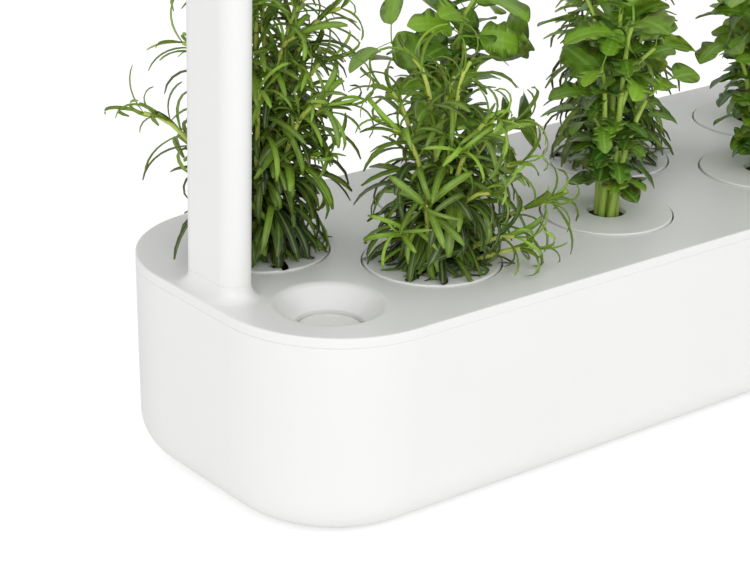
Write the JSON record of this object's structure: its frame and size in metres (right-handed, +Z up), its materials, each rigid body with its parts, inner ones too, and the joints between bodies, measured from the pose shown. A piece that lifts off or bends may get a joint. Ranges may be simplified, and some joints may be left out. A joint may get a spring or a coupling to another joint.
{
  "type": "countertop hydroponic garden",
  "caption": "Long white countertop planter with a water tank, planting deck with round pods, filler bowl and a grow lamp on two arms.",
  "frame": {"origin": "on the counter under the middle of the tank", "axes": "+X along the tank, away from the filler bowl; +Y to the back; +Z up"},
  "size_m": [0.6, 0.186, 0.3948],
  "materials": {
    "shell": "satin white moulded plastic",
    "cap": "satin white moulded plastic",
    "cup": "plain white moulded plastic",
    "float": "smooth white",
    "foot": "matte",
    "soil": "dark fibrous growing plug",
    "leaf": "living stems and leaves",
    "diffuser": "frosted clear",
    "board": "white coated board",
    "led": "yellow phosphor",
    "inlet": "black",
    "button": "satin light grey",
    "screw": "plated",
    "wire": "sheathed"
  },
  "bodies": {
    "tank": {"tank": "shell", "feet": "foot"},
    "deck": {"deck": "shell", "float_retainer": "cup"},
    "float": {"float_cap": "float", "float_bulb": "float"},
    "pod_1": {"cap_1": "cap", "cup_1": "cup", "soil_1": "soil", "plant_1": "leaf"},
    "pod_2": {"cap_2": "cap", "cup_2": "cup", "soil_2": "soil", "plant_2": "leaf"},
    "pod_3": {"cap_3": "cap", "cup_3": "cup", "soil_3": "soil", "plant_3": "leaf"},
    "pod_4": {"cap_4": "cap", "cup_4": "cup", "soil_4": "soil", "plant_4": "leaf"},
    "pod_5": {"cap_5": "cap", "cup_5": "cup", "soil_5": "soil", "plant_5": "leaf"},
    "pod_6": {"cap_6": "cap", "cup_6": "cup", "soil_6": "soil", "plant_6": "leaf"},
    "pod_7": {"cap_7": "cap", "cup_7": "cup", "soil_7": "soil", "plant_7": "leaf"},
    "pod_8": {"cap_8": "cap", "cup_8": "cup", "soil_8": "soil", "plant_8": "leaf"},
    "pod_9": {"cap_9": "cap", "cup_9": "cup", "soil_9": "soil", "plant_9": "leaf"},
    "risers": {"riser_left": "shell", "riser_right": "shell"},
    "lamp": {"lamp_arm_left": "shell", "lamp_arm_right": "shell", "lamp_tray": "shell", "lamp_cover": "shell", "diffuser": "diffuser", "led_board": "board", "leds": "led", "timer_board": "board", "timer_switch": "inlet", "power_inlet": "inlet", "inlet_pin": "screw", "cover_screws": "screw", "board_screws": "screw", "lamp_wires": "wire"},
    "timer_button": {"timer_button": "button"}
  },
  "joints": [
    {"name": "deck_lift", "type": "slide", "parent": "tank", "child": "deck", "axis": [0, 0, 1], "range_m": [0, 0.12]},
    {"name": "float_rise", "type": "slide", "parent": "deck", "child": "float", "axis": [0, 0, 1], "range_m": [0, 0.009]},
    {"name": "pod_1_lift", "type": "slide", "parent": "deck", "child": "pod_1", "axis": [0, 0, 1], "range_m": [0, 0.08]},
    {"name": "pod_2_lift", "type": "slide", "parent": "deck", "child": "pod_2", "axis": [0, 0, 1], "range_m": [0, 0.08]},
    {"name": "pod_3_lift", "type": "slide", "parent": "deck", "child": "pod_3", "axis": [0, 0, 1], "range_m": [0, 0.08]},
    {"name": "pod_4_lift", "type": "slide", "parent": "deck", "child": "pod_4", "axis": [0, 0, 1], "range_m": [0, 0.08]},
    {"name": "pod_5_lift", "type": "slide", "parent": "deck", "child": "pod_5", "axis": [0, 0, 1], "range_m": [0, 0.08]},
    {"name": "pod_6_lift", "type": "slide", "parent": "deck", "child": "pod_6", "axis": [0, 0, 1], "range_m": [0, 0.08]},
    {"name": "pod_7_lift", "type": "slide", "parent": "deck", "child": "pod_7", "axis": [0, 0, 1], "range_m": [0, 0.08]},
    {"name": "pod_8_lift", "type": "slide", "parent": "deck", "child": "pod_8", "axis": [0, 0, 1], "range_m": [0, 0.08]},
    {"name": "pod_9_lift", "type": "slide", "parent": "deck", "child": "pod_9", "axis": [0, 0, 1], "range_m": [0, 0.08]},
    {"name": "risers_lift", "type": "slide", "parent": "deck", "child": "risers", "axis": [0, 0, 1], "range_m": [0, 0.03]},
    {"name": "lamp_lift", "type": "slide", "parent": "risers", "child": "lamp", "axis": [0, 0, 1], "range_m": [0, 0.03]},
    {"name": "timer_button_press", "type": "slide", "parent": "lamp", "child": "timer_button", "axis": [0, 0, -1], "range_m": [0, 0.0012], "stiffness_N_per_m": 400, "springref_m": -0.0015}
  ]
}
